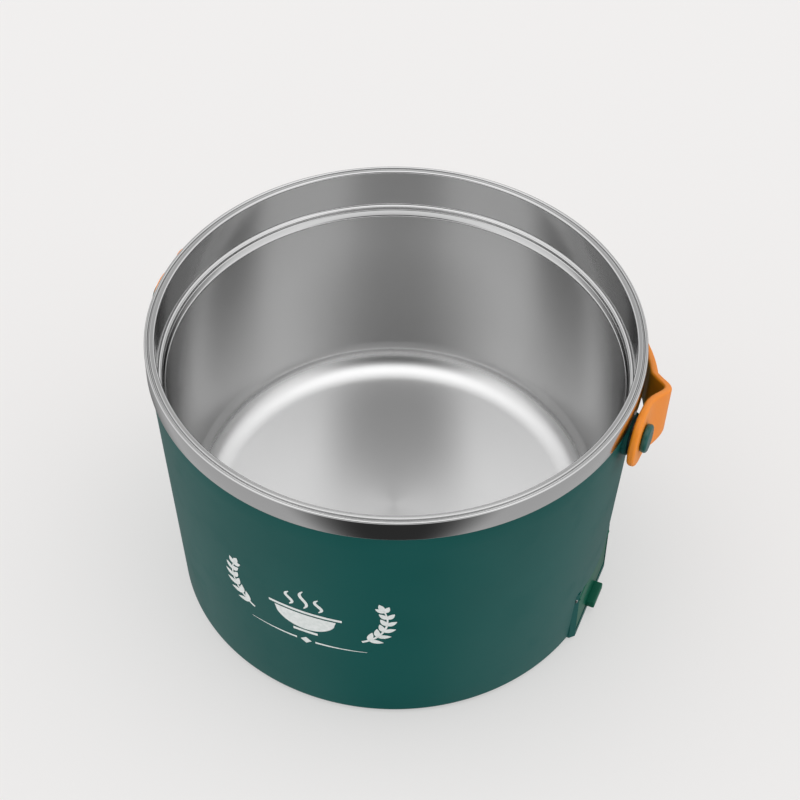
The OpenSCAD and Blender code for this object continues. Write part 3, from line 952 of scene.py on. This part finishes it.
@dataclass
class Studio:
    """Floor, light and camera.

    The room's light depends on its direction alone. Each span is a range of that direction's height, or
    for front and back of its heading (-1 towards the camera, 1 away from it), over which one strength
    gives way to the next.
    """

    turn: float = 21.0
    tilt: float = 46.907
    roll: float = 1.01
    lens: float = 90.05
    sensor: float = 36.0
    eye: tuple[float, float, float] = (1.52, -450.8, 555.0)
    floor_tone: Colour = (0.42, 0.412, 0.408)
    floor_glow: float = 0.45
    ring_light: float = 1.15
    top_light: float = 1.6
    low_light: float = 0.55
    front_dark: float = 0.93
    back_dark: float = 0.5
    level_span: Span = (-0.10, 0.40)
    cap_span: Span = (0.80, 0.98)
    steep_span: Span = (0.30, 0.60)
    below_span: Span = (-0.45, -0.15)
    front_span: Span = (-0.98, -0.60)
    back_span: Span = (0.50, 0.95)

    def camera(self) -> None:
        """Puts the camera where the photograph was taken from."""
        tilt, roll = math.radians(self.tilt), math.radians(self.roll)
        ahead = Vector((0, math.cos(tilt), -math.sin(tilt)))
        level, rise = Vector((1, 0, 0)), Vector((0, math.sin(tilt), math.cos(tilt)))
        right = level * math.cos(roll) + rise * math.sin(roll)
        up = rise * math.cos(roll) - level * math.sin(roll)
        axes = Matrix((right, up, -ahead)).transposed().to_4x4()
        place = Matrix.Translation(Vector(self.eye) * MM) @ axes
        data = bpy.data.cameras.new("camera")
        data.lens = self.lens
        data.sensor_width = self.sensor
        data.sensor_fit = "HORIZONTAL"
        data.clip_start = 0.01
        camera = bpy.data.objects.new("camera", data)
        camera.matrix_world = Matrix.Rotation(math.radians(self.turn), 4, "Z") @ place
        bpy.context.scene.collection.objects.link(camera)
        bpy.context.scene.camera = camera

    def floor(self) -> None:
        """Lays a plain pale floor."""
        bench = MaterialBench("floor")
        bench.dress(
            Base_Color=self.floor_tone, Roughness=0.9, Specular_IOR_Level=0.1,
            Emission_Color=(1.0, 0.99, 0.985), Emission_Strength=self.floor_glow,
        )
        bm = bmesh.new()
        bmesh.ops.create_grid(bm, x_segments=1, y_segments=1, size=6.0)
        mesh = bpy.data.meshes.new("floor")
        bm.to_mesh(mesh)
        bm.free()
        mesh.materials.append(bench.material)
        floor = bpy.data.objects.new("floor", mesh)
        bpy.context.scene.collection.objects.link(floor)
        floor.visible_glossy = False

    def air(self) -> None:
        """Fills the room with soft light, dim where the camera stands and, less so, behind the object."""
        world = bpy.data.worlds.new("room")
        world.use_nodes = True
        bench = Bench(world.node_tree)
        look = bench.node("ShaderNodeTexCoord").outputs["Generated"]
        turn = math.radians(self.turn)
        axes = ((-math.sin(turn), math.cos(turn), 0.0), (0.0, 0.0, 1.0))
        away, up = (
            bench.value("ShaderNodeVectorMath", {"operation": "DOT_PRODUCT"}, {0: look, 1: axis}, "Value")
            for axis in axes
        )
        # slightly more than 1, so that the heading stays finite straight up and down
        heading = away * (1.001 - up * up) ** -0.5
        steep = up.stretch(*self.steep_span, 0.0, 1.0) + up.stretch(*self.below_span, 1.0, 0.0)
        level = up.stretch(*self.level_span, self.low_light, self.ring_light)
        front = heading.stretch(*self.front_span, self.front_dark, 0.0) * steep
        back = heading.stretch(*self.back_span, 0.0, self.back_dark) * steep
        cap = up.stretch(*self.cap_span, 0.0, 1.0)
        light = level * (1.0 - front - back) * (1.0 - cap) + cap * self.top_light
        lamp = bench.node("ShaderNodeBackground", None, {0: (1.0, 1.0, 1.0), 1: light})
        bench.node("ShaderNodeOutputWorld", None, {0: lamp.outputs[0]})
        bpy.context.scene.world = world

    def build(self) -> None:
        """Sets the whole studio up."""
        bpy.context.scene.view_settings.view_transform = "Standard"
        self.camera()
        self.floor()
        self.air()


def main() -> None:
    """Builds the object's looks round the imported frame."""
    logging.basicConfig(level=logging.INFO, format="%(name)s %(message)s")
    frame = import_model()
    Studio().build()
    paint = Paintshop()
    shell = Shell()
    SteelPot().build(paint)
    shell.build(paint)
    Strap().build(paint)
    InletFlap().build(paint)
    FrontPrint(shell).build(paint)
    dress_the_rest(frame["nodes"], paint)


if __name__ == "__main__":
    main()
